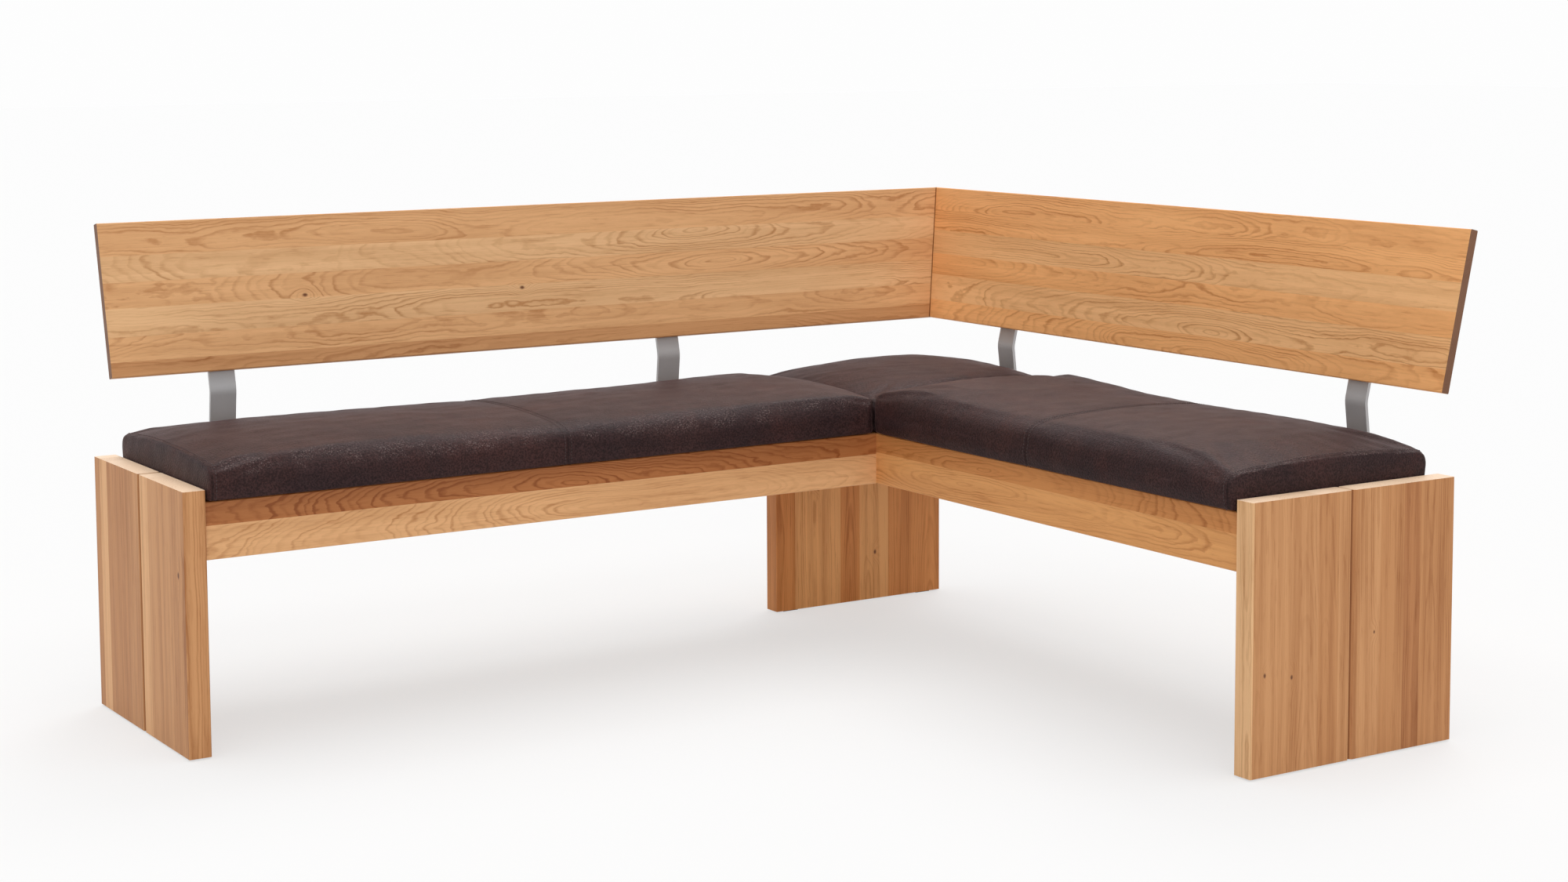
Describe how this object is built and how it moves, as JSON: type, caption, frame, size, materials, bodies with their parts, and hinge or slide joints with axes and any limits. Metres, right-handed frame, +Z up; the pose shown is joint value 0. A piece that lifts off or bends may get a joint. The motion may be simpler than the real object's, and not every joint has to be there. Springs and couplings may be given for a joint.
{
  "type": "corner bench",
  "caption": "L-shaped wooden corner bench with dark upholstered seat pads, panel legs and leaning mitred backrests carried on bent flat steel bars.",
  "frame": {"origin": "on the floor, at the middle of the bench's bounding box in plan", "axes": "+X along the long arm towards the corner, +Y from the sitter on the long arm to its backrest, +Z up"},
  "size_m": [1.8648, 1.5508, 0.8396],
  "materials": {
    "oiled_wood": "oiled",
    "frame_wood": "planed",
    "plywood": "raw",
    "tenon_wood": "raw",
    "leather": "vintage",
    "satin_steel": "satin",
    "screw_steel": "zinc",
    "glide_plastic": "matte"
  },
  "bodies": {
    "root": {"bracket_backrest_screws": "screw_steel", "bracket_rail_screws": "screw_steel", "corner_cushion": "leather", "corner_panel": "oiled_wood", "corner_panel_glides": "glide_plastic", "corner_seat_board": "plywood", "left_panel_front_board": "oiled_wood", "left_panel_glides": "glide_plastic", "left_panel_rear_board": "oiled_wood", "long_backrest": "oiled_wood", "long_batten_1": "frame_wood", "long_batten_2": "frame_wood", "long_batten_3": "frame_wood", "long_batten_4": "frame_wood", "long_bracket_inner": "satin_steel", "long_bracket_outer": "satin_steel", "long_cushion": "leather", "long_front_ledger": "frame_wood", "long_front_rail": "oiled_wood", "long_rear_ledger": "frame_wood", "long_rear_rail": "oiled_wood", "long_seat_board": "plywood", "mitre_plate_screws": "screw_steel", "mitre_plates": "satin_steel", "panel_tenons": "tenon_wood", "rail_tenons": "tenon_wood", "right_panel_front_board": "oiled_wood", "right_panel_glides": "glide_plastic", "right_panel_rear_board": "oiled_wood", "seat_screws": "screw_steel", "short_backrest": "oiled_wood", "short_batten_1": "frame_wood", "short_batten_2": "frame_wood", "short_batten_3": "frame_wood", "short_batten_4": "frame_wood", "short_bracket_inner": "satin_steel", "short_bracket_outer": "satin_steel", "short_cushion": "leather", "short_front_ledger": "frame_wood", "short_front_rail": "oiled_wood", "short_rear_ledger": "frame_wood", "short_rear_rail": "oiled_wood", "short_seat_board": "plywood"}
  },
  "joints": []
}
